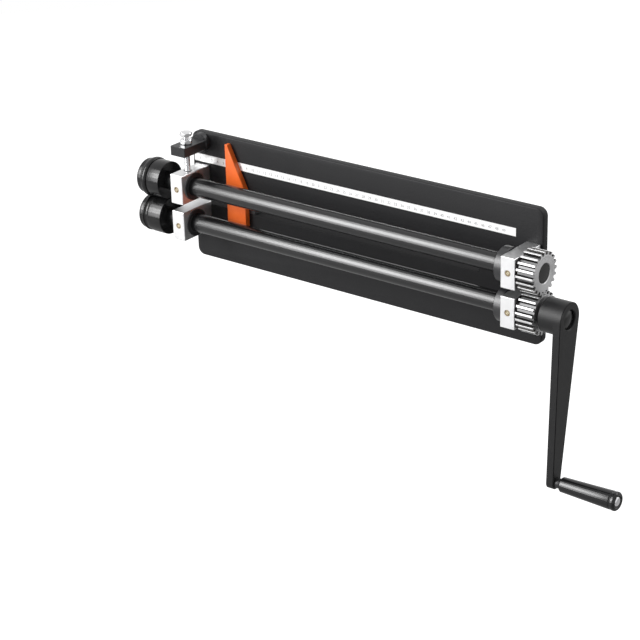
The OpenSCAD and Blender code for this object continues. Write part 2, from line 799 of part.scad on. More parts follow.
module die_bolt(z) {
    face_x = die_x - die_w - cap_t;
    nose_x = die_x - die_w + nose_short;
    union() {
        rod_x(face_x, axis_y, z, die_bolt_d, nose_x + die_bolt_depth - bolt_end_gap - face_x);
        translate([face_x, axis_y, z]) rotate([0, -90, 0]) hex_z(bolt_af, bolt_head_h);
    }
}
module upper_die_bolt() { color(dark_steel) die_bolt(upper_z); }
module lower_die_bolt() { color(dark_steel) die_bolt(lower_z); }

// Crank: a round hub and a tapered arm in one piece, turned to its resting angle
crank_screw_d = 6;
arm_edge = 0.8;
module at_crank() { translate([0, axis_y, lower_z]) rotate([-crank_tilt, 0, 0]) children(); }

// Outline of the arm between the hub and the handle, taken in by inset
module arm_outline(inset) {
    r1 = hub_d / 2 - inset;
    r2 = arm_end_d / 2 - inset;
    lean = asin((hub_d - arm_end_d) / 2 / crank_l);
    circle(r1);
    translate([0, -crank_l]) circle(r2);
    polygon([[r1 * cos(lean), -r1 * sin(lean)], [r2 * cos(lean), -crank_l - r2 * sin(lean)],
        [-r2 * cos(lean), -crank_l - r2 * sin(lean)], [-r1 * cos(lean), -r1 * sin(lean)]]);
}

module crank_arm() {
    color(black_coat) at_crank() difference() {
        union() {
            translate([hub_x, 0, 0]) rotate([0, 90, 0]) cylinder(d = hub_d, h = hub_l + arm_t / 2);
            translate([arm_x, 0, 0]) rotate([90, 0, 90])
                linear_extrude(arm_t - arm_edge) arm_outline(0);
            translate([arm_x + arm_edge, 0, 0]) rotate([90, 0, 90])
                linear_extrude(arm_t - arm_edge) arm_outline(arm_edge);
        }
        rod_x(hub_x - cut, 0, 0, shaft_d + 2 * seat_fit, hub_l + arm_t + 2 * cut);
        bore_chamfer(arm_end_x, 0, 0, shaft_d + 2 * seat_fit);
        rod_x(arm_x - cut, 0, -crank_l, pin_d + 2 * seat_fit, arm_t + 2 * cut);
        rod_y(hub_x + hub_l / 2, 0, 0, crank_screw_d + 2 * seat_fit, hub_d);
    }
}

// Set screw in the hub, towards the plate
module crank_set_screw() {
    start = shaft_d / 2 + tip_gap;
    length = hub_d / 2 - shaft_d / 2 - 2 * arm_edge;
    color(dark_steel) at_crank() difference() {
        rod_y(hub_x + hub_l / 2, start, 0, crank_screw_d, length);
        translate([hub_x + hub_l / 2, start + length, 0]) rotate([-90, 0, 0])
            hex_socket(crank_screw_d / 2, crank_screw_d / 2);
    }
}

// Handle: a headed pin through the arm, a spacer, and a tapered grip that turns on the pin
spacer_l = 6.2;
spacer_d = 12.8;
grip_gap = 0.25;
pin_head_h = 4;
pin_head_sunk = 0.4;
grip_wall_play = 0.25;
grip_edge = 1.6;
grip_x = arm_end_x + spacer_l + grip_gap;
grip_end_x = grip_x + grip_l;

module handle_pin() {
    head_x = grip_end_x - pin_head_sunk - pin_head_h;
    dome = pin_head_h / 3;
    color(bright_steel) at_crank() union() {
        rod_x(arm_x, 0, -crank_l, pin_d, head_x - arm_x);
        turned_x(head_x, 0, -crank_l, [[0, 0], [0, pin_head_d / 2],
            [pin_head_h - dome, pin_head_d / 2], [pin_head_h, pin_head_d / 2 - dome],
            [pin_head_h, 0]]);
    }
}

module handle_spacer() {
    color(bright_steel) at_crank()
        ring_x(arm_end_x, 0, -crank_l, spacer_d, pin_d + 2 * seat_fit, spacer_l);
}

module handle_grip() {
    head_x = grip_l - pin_head_sunk - pin_head_h - grip_gap;
    bore_r = pin_d / 2 + run_fit;
    recess_r = pin_head_d / 2 + grip_wall_play;
    r1 = grip_d_in / 2;
    r2 = grip_d_out / 2;
    color(black_coat) at_crank() turned_x(grip_x, 0, -crank_l, [[0, bore_r], [0, r1 - grip_edge],
        [grip_edge, r1], [grip_l - grip_edge, r2], [grip_l, r2 - grip_edge], [grip_l, recess_r],
        [head_x, recess_r], [head_x, bore_r]]);
}

// Stop gauge: a pointed plate with a straight left edge, just clear of the ruler tape, on a key
// that slides in the throat
gauge_tip_w = 4;
gauge_edge = 0.5;
gauge_thread_d = 6;
gauge_thread_deep = 5.5;
gauge_key_past = 10.2;
gauge_lift = tape_t + slide_fit;
stud_end_gap = 0.4;
gauge_left_x = left_x + gauge_x;
gauge_mid_x = gauge_left_x + gauge_w / 2;

// Outline of the gauge about the middle of the throat, taken in by inset
module gauge_outline(inset) {
    polygon([[inset, inset - gauge_drop], [gauge_w - inset, inset - gauge_drop],
        [gauge_w - inset, gauge_shoulder], [gauge_tip_w, gauge_rise - inset],
        [inset, gauge_rise - inset]]);
}

module stop_gauge() {
    face_y = front_y - gauge_lift;
    color(orange_paint) difference() {
        union() {
            translate([gauge_left_x, face_y, mid_z]) rotate([90, 0, 0])
                linear_extrude(gauge_t - gauge_edge) gauge_outline(0);
            translate([gauge_left_x, face_y - gauge_edge, mid_z]) rotate([90, 0, 0])
                linear_extrude(gauge_t - gauge_edge) gauge_outline(gauge_edge);
        }
        rod_y(gauge_mid_x, face_y - gauge_thread_deep, mid_z, gauge_thread_d + 2 * seat_fit,
            gauge_thread_deep + cut);
    }
}

module gauge_key() {
    key_z = throat_h - 2 * slide_fit;
    key_l = gauge_w + gauge_key_past;
    depth = gauge_lift + plate_t - slide_fit;
    color(black_oxide) difference() {
        translate([gauge_left_x, front_y - gauge_lift, mid_z - key_z / 2])
            chamfer_box(key_l, depth, key_z, gauge_edge);
        rod_y(gauge_mid_x, front_y - cut, mid_z, gauge_thread_d + 2 * seat_fit, plate_t + 2 * cut);
    }
}

// Rear clamp of the gauge: washer, stud and lobed knob
gauge_washer_wide = 34;
gauge_washer_t = 2.5;
knob_wide = 36;
knob_h = 15;
knob_lobes = 6;
knob_boss_h = 5;
knob_boss_wide = 16;
knob_share = 0.74;
knob_y = back_y + slide_fit + gauge_washer_t + tip_gap;
module gauge_washer() {
    color(dark_steel) difference() {
        rod_y(gauge_mid_x, back_y + slide_fit, mid_z, gauge_washer_wide, gauge_washer_t);
        rod_y(gauge_mid_x, back_y - cut, mid_z, gauge_thread_d + 2 * run_fit, gauge_washer_t + 2 * cut);
    }
}

module gauge_stud() {
    start_y = front_y - gauge_lift - gauge_thread_deep + stud_end_gap;
    color(bright_steel)
        rod_y(gauge_mid_x, start_y, mid_z, gauge_thread_d - 2 * run_fit, knob_y + knob_boss_h - start_y);
}

module gauge_knob() {
    lobe_d = knob_wide * (1 - knob_share);
    ring_r = knob_wide / 2 - lobe_d / 2;
    color(black_coat) difference() {
        union() {
            rod_y(gauge_mid_x, knob_y, mid_z, knob_boss_wide, knob_h);
            rod_y(gauge_mid_x, knob_y + knob_boss_h, mid_z, 2 * ring_r, knob_h - knob_boss_h);
            for (i = [0 : knob_lobes - 1]) {
                translate([gauge_mid_x, knob_y + knob_boss_h, mid_z]) rotate([0, i * 360 / knob_lobes, 0])
                    rod_y(ring_r, 0, 0, lobe_d, knob_h - knob_boss_h);
            }
        }
        rod_y(gauge_mid_x, knob_y - cut, mid_z, gauge_thread_d + 2 * seat_fit, knob_boss_h + cut);
    }
}

frame_plate();
ruler_tape();
screw_arm();
arm_bolt();
bench_flange();
flange_welds();
lower_die_block();
upper_drive_block();
lower_drive_block();
lower_die_bush();
lower_drive_bush();
oil_plugs();
block_screws();
upper_die_block();
upper_die_bush();
upper_drive_bush();
sliding_block_plug();
guide_studs();
guide_plate();
guide_nuts();
screw_pad();
press_screw();
lock_nut();
upper_shaft();
upper_collar();
upper_collar_screw();
upper_gear();
upper_gear_key();
upper_die();
upper_die_key();
upper_die_cap();
upper_die_bolt();
lower_shaft();
lower_collar();
lower_collar_screw();
lower_gear();
lower_gear_key();
lower_die();
lower_die_key();
lower_die_cap();
lower_die_bolt();
crank_arm();
crank_set_screw();
handle_pin();
handle_spacer();
handle_grip();
stop_gauge();
gauge_key();
gauge_washer();
gauge_stud();
gauge_knob();
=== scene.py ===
"""Hand-cranked bead roller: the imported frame, dressed in the order the machine is put together."""
import math

import bmesh
import bpy
import numpy as np
from mathutils import Matrix, Vector


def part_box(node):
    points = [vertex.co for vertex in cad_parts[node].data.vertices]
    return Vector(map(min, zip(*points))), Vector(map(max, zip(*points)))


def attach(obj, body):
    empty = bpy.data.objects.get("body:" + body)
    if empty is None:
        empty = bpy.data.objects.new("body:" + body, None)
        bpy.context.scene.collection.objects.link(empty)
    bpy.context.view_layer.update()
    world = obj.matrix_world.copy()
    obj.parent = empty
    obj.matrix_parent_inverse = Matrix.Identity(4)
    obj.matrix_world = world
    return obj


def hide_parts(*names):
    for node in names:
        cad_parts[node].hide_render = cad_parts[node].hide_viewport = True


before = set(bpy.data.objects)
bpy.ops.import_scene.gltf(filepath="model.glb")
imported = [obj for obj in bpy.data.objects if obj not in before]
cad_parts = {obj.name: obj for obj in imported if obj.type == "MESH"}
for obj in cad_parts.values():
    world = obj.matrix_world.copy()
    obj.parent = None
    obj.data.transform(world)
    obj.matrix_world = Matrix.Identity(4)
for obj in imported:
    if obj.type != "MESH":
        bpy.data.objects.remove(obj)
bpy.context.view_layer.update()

# Camera
# The machine is seen from the crank's end and a little above, as an operator standing to its
# right would see it. A long lens keeps the shafts nearly parallel. Its place and length were
# fitted to the edges of the machine in the photo.
turn, rise, roll = (math.radians(angle) for angle in (38.164, 23.753, -1.626))
aim, stand_off = Vector((0.134742, -0.319067, 0.085382)), 2.327133
look = Vector((-math.sin(turn) * math.cos(rise), math.cos(turn) * math.cos(rise), -math.sin(rise)))
level = Vector((math.cos(turn), math.sin(turn), 0))
upright = level.cross(look)
right = level * math.cos(roll) + upright * math.sin(roll)
top = upright * math.cos(roll) - level * math.sin(roll)
lens = bpy.data.cameras.new("camera")
lens.sensor_width, lens.lens = 36, 116.01
lens.shift_x, lens.shift_y = -0.004591, 0.003825
lens.clip_start, lens.clip_end = 0.05, 100
camera = bpy.data.objects.new("camera", lens)
camera.matrix_world = Matrix((right, top, -look)).transposed().to_4x4()
camera.location = aim - look * stand_off
bpy.context.scene.collection.objects.link(camera)
bpy.context.scene.camera = camera
bpy.context.scene.view_settings.view_transform = "Standard"


# Studio
# A white room: soft light from everywhere, a tall soft box on the operator's left that is brightest
# at its middle, and a weak one behind the machine. The floor lies well below the machine.
class Signal:
    """A value on its way through a shader: sums written with it become Math nodes."""

    def __init__(self, shader, socket):
        self.shader, self.socket = shader, socket

    def math(self, operation, *values):
        return self.shader.node("ShaderNodeMath", {"operation": operation}, dict(enumerate(values)))

    def __add__(self, other):
        return self.math("ADD", self, other)

    def __sub__(self, other):
        return self.math("SUBTRACT", self, other)

    def __rsub__(self, other):
        return self.math("SUBTRACT", other, self)

    def __mul__(self, other):
        return self.math("MULTIPLY", self, other)

    def __truediv__(self, other):
        return self.math("DIVIDE", self, other)

    def __rtruediv__(self, other):
        return self.math("DIVIDE", other, self)

    def __pow__(self, other):
        return self.math("POWER", self, other)

    def __abs__(self):
        return self.math("ABSOLUTE", self)

    def __gt__(self, other):
        return self.math("GREATER_THAN", self, other)

    def __lt__(self, other):
        return self.math("LESS_THAN", self, other)

    __radd__, __rmul__ = __add__, __mul__

    def held(self):
        """The value kept between 0 and 1."""
        return self.shader.node("ShaderNodeClamp", {}, {0: self})

    def also(self, output):
        """Another output of the same node."""
        return Signal(self.shader, self.socket.node.outputs[output])


class Shader:
    """The nodes of one material, or of the room."""

    def __init__(self, owner):
        owner.use_nodes = True
        self.owner, self.tree = owner, owner.node_tree
        self.tree.nodes.clear()

    def node(self, kind, settings, sockets):
        """Adds a node: its settings first, then the values or signals of its sockets."""
        node = self.tree.nodes.new(kind)
        for key, value in settings.items():
            setattr(node, key, value)
        for key, value in sockets.items():
            socket = node.inputs[key]
            if isinstance(value, Signal):
                self.tree.links.new(value.socket, socket)
            elif socket.type == "RGBA" and len(value) == 3:
                socket.default_value = (*value, 1)
            else:
                socket.default_value = value
        return Signal(self, node.outputs[0]) if node.outputs else None


white, soft_light = (1, 1, 1), 0.48
room = bpy.data.worlds.new("white room")
bpy.context.scene.world = room
air = Shader(room)
ray = air.node("ShaderNodeLightPath", {}, {})
seen = (ray + ray.also("Is Glossy Ray") + ray.also("Is Transmission Ray")).held()
strength = soft_light + seen * (1 - soft_light)
sky = air.node("ShaderNodeBackground", {}, {"Color": white, "Strength": strength})
air.node("ShaderNodeOutputWorld", {}, {"Surface": sky})


def lamp(name, side, lift, width, height, watts, distance=8.0):
    """A soft box seen from the machine at X = side, lift degrees up from the operator's side."""
    machine = Vector((0, -0.06, 0.04))
    lift, out = math.radians(lift), math.sqrt(1 - side * side)
    away = Vector((side, -out * math.cos(lift), out * math.sin(lift)))
    tall = Vector((0, math.sin(lift), math.cos(lift)))
    light = bpy.data.lights.new(name, "AREA")
    light.shape, light.size, light.size_y, light.energy = "RECTANGLE", width, height, watts
    box = bpy.data.objects.new(name, light)
    box.matrix_world = Matrix((tall.cross(away), tall, away)).transposed().to_4x4()
    box.location = machine + away * distance
    bpy.context.scene.collection.objects.link(box)


for part, lift, watts in (("low", 7, 185), ("middle", 29.2, 420), ("high", 51, 185)):
    lamp("soft box " + part, side=-0.566, lift=lift, width=2.4, height=3.0, watts=watts)
lamp("rear soft box", side=0.35, lift=132, width=5.0, height=3.2, watts=170)


def skin(*grids, ring=False, merge=1e-6, crease=38):
    """Four-sided faces over grids of points: the last column joins the first.

    In a ring the last row joins the first too. Points nearer than merge, as at a pole, become
    one, faces are turned outwards, and edges of more than crease degrees stay sharp."""
    points, faces, start = [], [], 0
    for grid in grids:
        rows, columns = grid.shape[:2]
        index = start + np.arange(rows * columns).reshape(rows, columns)
        start += rows * columns
        index = np.concatenate((index, index[:, :1]), axis=1)
        if ring:
            index = np.concatenate((index, index[:1]), axis=0)
        corners = (index[:-1, :-1], index[1:, :-1], index[1:, 1:], index[:-1, 1:])
        faces.append(np.stack(corners, axis=-1).reshape(-1, 4))
        points.append(grid.reshape(-1, 3))
    mesh = bpy.data.meshes.new("skin")
    mesh.from_pydata(np.concatenate(points).tolist(), [], np.concatenate(faces).tolist())
    work = bmesh.new()
    work.from_mesh(mesh)
    bmesh.ops.remove_doubles(work, verts=work.verts, dist=merge)
    bmesh.ops.recalc_face_normals(work, faces=work.faces)
    work.to_mesh(mesh)
    work.free()
    mesh.shade_smooth()
    mesh.set_sharp_from_angle(angle=math.radians(crease))
    return mesh


# a round floor: a radius and an angle give each point
floor_z, floor_shade, floor_glow = -2.0, 0.50, 0.84
reach = np.array([0.0, 0.5, 2.0, 9.0])[:, None, None]
angle = np.linspace(0, 2 * np.pi, 48, endpoint=False)
circle = np.stack((np.cos(angle), np.sin(angle), 0 * angle), axis=-1)
paint = Shader(bpy.data.materials.new("pale floor"))
ray = paint.node("ShaderNodeLightPath", {}, {})
seen = (ray + ray.also("Is Transmission Ray")).held()
matt = paint.node("ShaderNodeBsdfDiffuse", {}, {"Color": (floor_shade,) * 3})
glow = paint.node("ShaderNodeEmission", {}, {"Color": white, "Strength": seen * floor_glow})
both = paint.node("ShaderNodeAddShader", {}, {0: matt, 1: glow})
paint.node("ShaderNodeOutputMaterial", {}, {"Surface": both})
floor = bpy.data.objects.new("floor", skin(reach * circle + np.array([0, 0, floor_z])))
floor.data.materials.append(paint.owner)
bpy.context.scene.collection.objects.link(floor)


# Frame plate
# A flame-cut and ground 11 mm steel plate with a long throat, open at the left. It wears a black,
# finely grained powder coat, thinner and rougher on the cut faces inside the throat.
def put(name, mesh, material, body, slot, *nodes):
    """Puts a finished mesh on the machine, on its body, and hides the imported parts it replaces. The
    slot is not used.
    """
    mesh.name = name
    piece = bpy.data.objects.new(name, mesh)
    bpy.context.scene.collection.objects.link(piece)
    mesh.materials.append(material.owner)
    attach(piece, body)
    if nodes:
        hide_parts(*nodes)
    return piece


def rounded(name, node, material, body, slot, edge, rounds=2):
    """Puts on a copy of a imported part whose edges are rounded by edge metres, in rounds steps.

    Corners that share a place, to the micrometre, become one first, and flat faces are joined."""
    micrometres, merge, flat, sharp = 1e6, 2e-6, math.radians(0.4), math.radians(42)
    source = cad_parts[node].data
    spots = np.empty(len(source.vertices) * 3, np.float32)
    source.vertices.foreach_get("co", spots)
    corners = np.empty(len(source.loops), np.int32)
    source.loops.foreach_get("vertex_index", corners)
    steps = np.round(spots.reshape(-1, 3).astype(float) * micrometres).astype(np.int64)
    _, first, same = np.unique(steps, axis=0, return_index=True, return_inverse=True)
    triangles = same.reshape(-1)[corners].reshape(-1, 3)
    a, b, c = triangles.T
    triangles = triangles[(a != b) & (b != c) & (c != a)]
    mesh = bpy.data.meshes.new(name)
    mesh.from_pydata(spots.reshape(-1, 3)[first].tolist(), [], triangles.tolist())
    work = bmesh.new()
    work.from_mesh(mesh)
    bmesh.ops.remove_doubles(work, verts=work.verts, dist=merge)
    bmesh.ops.dissolve_limit(work, angle_limit=flat, verts=work.verts, edges=work.edges)
    work.to_mesh(mesh)
    work.free()
    mesh.shade_smooth()
    bevel = put(name, mesh, material, body, slot, node).modifiers.new("broken edges", "BEVEL")
    bevel.width, bevel.segments = edge, rounds
    bevel.limit_method, bevel.angle_limit = "ANGLE", sharp
    bevel.harden_normals = True


class Finish(Shader):
    """A surface finish that reads the piece's own coordinates, in metres."""

    def __init__(self, name):
        super().__init__(bpy.data.materials.new(name))
        self.place = self.node("ShaderNodeTexCoord", {}, {}).also("Object")

    def axes(self, centre=(0, 0, 0)):
        """Distances along X, Y and Z from a point."""
        kind = {"operation": "SUBTRACT"}
        away = self.node("ShaderNodeVectorMath", kind, {0: self.place, 1: centre})
        x = self.node("ShaderNodeSeparateXYZ", {}, {0: away})
        return x, x.also(1), x.also(2)

    def grain(self, size, detail=2.0, drawn=(1, 1, 1)):
        """Noise with spots about size across, drawn out along the axes."""
        scale = [1 / (size * length) for length in drawn]
        where = self.node("ShaderNodeMapping", {}, {"Vector": self.place, "Scale": scale})
        sockets = {"Vector": where, "Scale": 1.0, "Detail": detail}
        return self.node("ShaderNodeTexNoise", {}, sockets)

    def mix(self, one, other, share):
        """Goes from one colour to another as share goes from 0 to 1."""
        kind = {"data_type": "RGBA"}
        return self.node("ShaderNodeMix", kind, {0: share, 6: one, 7: other}).also(2)

    def relief(self, height, depth):
        """A bump whose height signal stands depth metres tall."""
        sockets = {"Height": height, "Distance": depth, "Strength": 1.0}
        return self.node("ShaderNodeBump", {}, sockets)

    def wear(self, **sockets):
        """Ends the finish: each word names a socket of the Principled shader."""
        words = {"colour": "Base Color", "rough": "Roughness", "metal": "Metallic",
                 "normal": "Normal", "ior": "IOR", "coat": "Coat Weight",
                 "coat_rough": "Coat Roughness"}
        sockets = {words[word]: value for word, value in sockets.items()}
        shine = self.node("ShaderNodeBsdfPrincipled", {}, sockets)
        self.node("ShaderNodeOutputMaterial", {}, {"Surface": shine})


low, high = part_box("frame_plate")
throat_rest, throat_up, throat_half, overrun = 0.0904, 0.0872, 0.0103, 0.0005
powder = Finish("black powder coat")
x, _, z = powder.axes((high.x - throat_rest, 0, low.z + throat_up))
orange_peel, pores, clouds = powder.grain(0.0021), powder.grain(0.0007), powder.grain(0.05)
inside = (abs(z) < throat_half) * (x < overrun)
powder.wear(
    colour=powder.mix((0.010, 0.010, 0.011), (0.018, 0.018, 0.019), clouds * 0.6 + pores * 0.4),
    rough=0.40 + orange_peel * 0.10 + pores * 0.08 + inside * 0.35, ior=1.28,
    normal=powder.relief(orange_peel * 0.75 + pores * 0.25, 0.00022),
)
rounded("plate", "frame_plate", powder, "frame", "plate_coat", edge=0.0007)
plate_back = high.y

# Bench flange and its welds
# An angle bar behind the plate, with four holes for bench bolts, held by four short weld beads.
# Bar and beads were coated with the plate, and the coat is worn thin round the bolt holes.
hole_x, hole_y, hole_r, worn_ring, leg_top = 0.120, 0.011, 0.0045, 0.004, 0.006
coat = Finish("flange coat")
x, y, z = coat.axes()
peel, clouds = coat.grain(0.0018), coat.grain(0.03)
hole = ((abs(x) - hole_x) ** 2 + (abs(y) - hole_y) ** 2) ** 0.5
thin = (1 - (hole - hole_r) / worn_ring).held() * (z < leg_top)
coat.wear(
    colour=coat.mix((0.0115, 0.0115, 0.0125), (0.055, 0.055, 0.057), thin * clouds),
    rough=0.42 + peel * 0.12 - thin * 0.10, ior=1.31,
    normal=coat.relief(peel, 0.0002),
)
rounded("bench_angle", "bench_flange", coat, "frame", "flange_coat", edge=0.0009, rounds=3)


def capped(grid):
    """Closes a tube of points at both ends: a row of middle points before and behind its rows."""
    middle = grid.mean(axis=-2, keepdims=True) + 0 * grid
    return np.concatenate((middle[..., :1, :, :], grid, middle[..., -1:, :, :]), axis=-3)


low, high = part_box("flange_welds")
leg, bead_l, bead_count, torch_step = high.z - low.z, 0.040, 4, 0.0021
middling, scallop, crown, bow, end_share, stub, shrunk = 0.80, 0.055, 0.10, 0.55, 0.07, 0.25, 0.98
along = np.linspace(0, 1, 121)[:, None]
sweep = np.linspace(0, 1, 15)[None, :]
# the bead's reach from the corner: a rounded quarter with a crown, scalloped by the torch's
# steps, that fades to a stub at its ends
crescents = np.abs(np.sin(np.pi * (along * bead_l / torch_step - bow * np.sin(np.pi * sweep))))
fade = np.clip((1 - np.abs(2 * along - 1)) / end_share, 0, 1) ** 0.5
swell = leg * (middling + scallop * crescents + crown * np.sin(np.pi * sweep))
swell = swell * (stub + (1 - stub) * fade)
quarter = sweep * np.pi / 2
beads = []
for start in np.linspace(low.x, high.x - bead_l, bead_count):
    front = np.stack((start + along * bead_l + 0 * sweep,
                      low.y + swell * np.cos(quarter) * shrunk,
                      low.z + swell * np.sin(quarter) * shrunk), axis=-1)
    root = front[:, :1] * np.array([1, 0, 0]) + np.array([0, low.y, low.z])
    beads.append(capped(np.concatenate((root, front), axis=1)))
put("weld_beads", skin(*beads), coat, "frame", "flange_coat", "flange_welds")

# Ruler tape
# White vinyl tape stuck above the throat, printed in grey: millimetre ticks along its upper edge
# and a number at every centimetre, counted from the open end.
vinyl = Finish("white vinyl")
faint = vinyl.grain(0.02)
vinyl.wear(
    colour=vinyl.mix((0.90, 0.90, 0.895), (0.95, 0.95, 0.945), faint),
    rough=0.30 + faint * 0.10, coat=0.8, coat_rough=0.10,
    normal=vinyl.relief(vinyl.grain(0.004), 0.00001),
)
rounded("tape", "ruler_tape", vinyl, "frame", "tape", edge=0.00008, rounds=1)

ink = Finish("grey print")
ink.wear(colour=ink.mix((0.14, 0.14, 0.15), (0.26, 0.26, 0.27), ink.grain(0.0006)),
         rough=0.55 + ink.grain(0.002) * 0.1)
low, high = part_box("ruler_tape")
millimetre, centimetre, margin, ink_t = 0.001, 0.01, 0.0004, 0.00002
place = np.arange(1, int((high.x - low.x) * 1000))[:, None]
whole, half = place % 10 == 0, place % 5 == 0
tall = np.where(whole, 0.0030, np.where(half, 0.0022, 0.0014))
thick = np.where(whole, 0.00007, 0.00004)
# each tick is a thin slab: four columns go round it, two rows give its upper and lower end
rim_x = low.x + place * millimetre + thick * np.array([-1, 1, 1, -1])
rim_y = low.y + ink_t * np.array([0, 0, -1, -1]) + 0 * rim_x
rim_z = high.z - margin + 0 * rim_x
ticks = np.stack((np.stack((rim_x, rim_y, rim_z), axis=-1),
                  np.stack((rim_x, rim_y, rim_z - tall), axis=-1)), axis=1)
put("tape_ticks", skin(*capped(ticks)), ink, "frame", "tape")

number_tall, number_up = 0.0052, 0.0044
numbers = bmesh.new()
for count in range(1, int((high.x - low.x) * 100)):
    words = bpy.data.curves.new("number", "FONT")
    words.body, words.size, words.extrude = str(count), number_tall, ink_t / 2
    words.align_x, words.align_y = "CENTER", "CENTER"
    holder = bpy.data.objects.new("number", words)
    flat = bpy.data.meshes.new_from_object(holder)
    spot = Vector((low.x + count * centimetre, low.y - ink_t / 2, low.z + number_up))
    flat.transform(Matrix.Translation(spot) @ Matrix.Rotation(math.pi / 2, 4, "X"))
    numbers.from_mesh(flat)
    bpy.data.objects.remove(holder)
    bpy.data.curves.remove(words)
    bpy.data.meshes.remove(flat)
print_mesh = bpy.data.meshes.new("tape_numbers")
bmesh.ops.remove_doubles(numbers, verts=numbers.verts, dist=1e-7)
numbers.to_mesh(print_mesh)
numbers.free()
put("tape_numbers", print_mesh, ink, "frame", "tape")

# Screw arm and its bolt
# A short bar milled from a round boss, blackened, and pulled against the plate by a bolt and
# washer from behind.
oxide = Finish("blackened milled steel")
strokes, clouds = oxide.grain(0.0006, 3, (1, 30, 1)), oxide.grain(0.012)
oxide.wear(
    colour=oxide.mix((0.014, 0.014, 0.015), (0.038, 0.038, 0.040), clouds * 0.5 + strokes * 0.5),
    ior=1.38, metal=0.3, rough=0.28 + strokes * 0.18,
    normal=oxide.relief(strokes, 0.00004),
)
rounded("press_arm", "screw_arm", oxide, "frame", "arm_oxide", edge=0.0005, rounds=3)


def round_rows(rows, turns=96):
    """Rows of (distance along the axis, radius), the radius the same all round."""
    rows = np.asarray(rows, float)
    return np.concatenate((rows[:, :1], np.repeat(rows[:, 1:2], turns, axis=1)), axis=1)


def six_sided(rows, turns=96):
    """Rows of (distance, half width across flats, limit): radius a / cos(t), cut at the limit."""
    rows = np.asarray(rows, float)
    angle = np.arange(turns) * 2 * np.pi / turns
    corner = 1 / np.cos((angle + np.pi / 6) % (np.pi / 3) - np.pi / 6)
    return np.concatenate((rows[:, :1], np.minimum(rows[:, 1:2] * corner, rows[:, 2:3])), axis=1)


def hexagon(start, end, wide, chamfers=(True, True)):
    """A nut's or a bolt head's sides, its corners turned off to a cone at the chosen ends.

    The cone starts at a share of half the width and widens by another, over a drop in height."""
    start_share, widening, drop, steps = 0.97, 0.19, wide * 0.09, np.linspace(0, 1, 5)
    cone = wide / 2 * (start_share + widening * steps)
    flats, whole = 0 * steps + wide / 2, 0 * steps + wide
    first, last = (cone if chamfer else whole for chamfer in chamfers)
    return six_sided(np.concatenate((np.stack((start + drop * steps, flats, first), 1),
                                     np.stack((end - drop * steps, flats, last), 1)[::-1])))


def turned(start, along, *stretches):
    """Carries rows of (distance, radius at each angle) round an axis that begins at start."""
    rows = np.concatenate(stretches)
    along = np.array(along, float)
    side = np.cross(along, (0, 0, 1) if abs(along[2]) < 0.9 else (1, 0, 0))
    side /= np.linalg.norm(side)
    other = np.cross(along, side)
    angle = np.arange(rows.shape[1] - 1)[:, None] * 2 * np.pi / (rows.shape[1] - 1)
    spoke = np.cos(angle) * side + np.sin(angle) * other
    return np.array(start, float) + rows[:, :1, None] * along + rows[:, 1:, None] * spoke


def tip(radius):
    """The start of a shank's line: its end face and a chamfer."""
    return [(0, 0), (0, radius * 0.8), (radius * 0.2, radius)]


backwards = (0, 1, 0)
zinc = Finish("zinc plated fastener")
mottle, fine = zinc.grain(0.0014), zinc.grain(0.00035)
zinc.wear(
    colour=zinc.mix((0.30, 0.30, 0.31), (0.48, 0.48, 0.49), mottle),
    metal=1.0, rough=0.28 + mottle * 0.16,
    normal=zinc.relief(fine, 0.00002),
)
low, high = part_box("arm_bolt")
shank_r, washer_r, head_wide, head_tall, soft, edge = 0.004, 0.0085, 0.013, 0.0053, 0.0002, 0.0003
mid_x, mid_z = (low.x + high.x) / 2, (low.z + high.z) / 2
long, shank = high.y - low.y, plate_back - low.y
washer = long - head_tall
# shank, washer and head, from the tip
grid = turned((mid_x, low.y, mid_z), backwards,
              round_rows(tip(shank_r) + [(shank, shank_r), (shank, washer_r - soft),
                                         (shank + edge, washer_r), (washer - edge, washer_r),
                                         (washer, washer_r - edge)]),
              hexagon(washer, long, head_wide, (False, True)),
              round_rows([(long, 0)]))
put("arm_bolt_zinc", skin(grid), zinc, "frame", "fastener", "arm_bolt")

# Bearing blocks
# Four blocks sawn and ground from bright flat bar: three are fixed, and the upper left one
# slides. Grinding leaves fine upright lines, and the edges are broken with a file.
bright = Finish("ground bright steel")
lines, smears = bright.grain(0.00035, 3, (1, 1, 40)), bright.grain(0.009, 3)
bright.wear(
    colour=bright.mix((0.67, 0.67, 0.675), (0.84, 0.84, 0.845), smears * 0.5 + lines * 0.5),
    metal=1.0, rough=0.26 + lines * 0.16 + smears * 0.10,
    normal=bright.relief(lines * 0.8 + smears * 0.2, 0.000025),
)
for node, body in (("lower_die_block", "frame"), ("upper_drive_block", "frame"),
                   ("lower_drive_block", "frame"), ("upper_die_block", "carrier")):
    rounded(node + "_ground", node, bright, body, "block_steel", edge=0.0003)

# Bushes, oil plugs and block screws
# The left bushes are black and flanged, the right ones bronze. Each block's oil hole is closed
# by a slotted brass plug, and socket head screws hold the fixed blocks from behind the plate.
black_bush = Finish("blackened bush")
rust = black_bush.grain(0.001)
black_bush.wear(
    colour=black_bush.mix((0.03, 0.03, 0.032), (0.06, 0.06, 0.062), rust),
    metal=0.5, rough=0.30 + rust * 0.15,
    normal=black_bush.relief(rust, 0.00002),
)
bronze = Finish("oiled bronze")
oil = bronze.grain(0.003)
bronze.wear(
    colour=bronze.mix((0.42, 0.24, 0.09), (0.62, 0.40, 0.17), oil),
    metal=1.0, rough=0.25 + oil * 0.2,
    normal=bronze.relief(bronze.grain(0.0005), 0.00002),
)


def dress(node, material):
    """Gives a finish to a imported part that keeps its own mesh."""
    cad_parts[node].material_slots[0].material = material.owner


for node, material in (("lower_die_bush", black_bush), ("upper_die_bush", black_bush),
                       ("lower_drive_bush", bronze), ("upper_drive_bush", bronze)):
    dress(node, material)

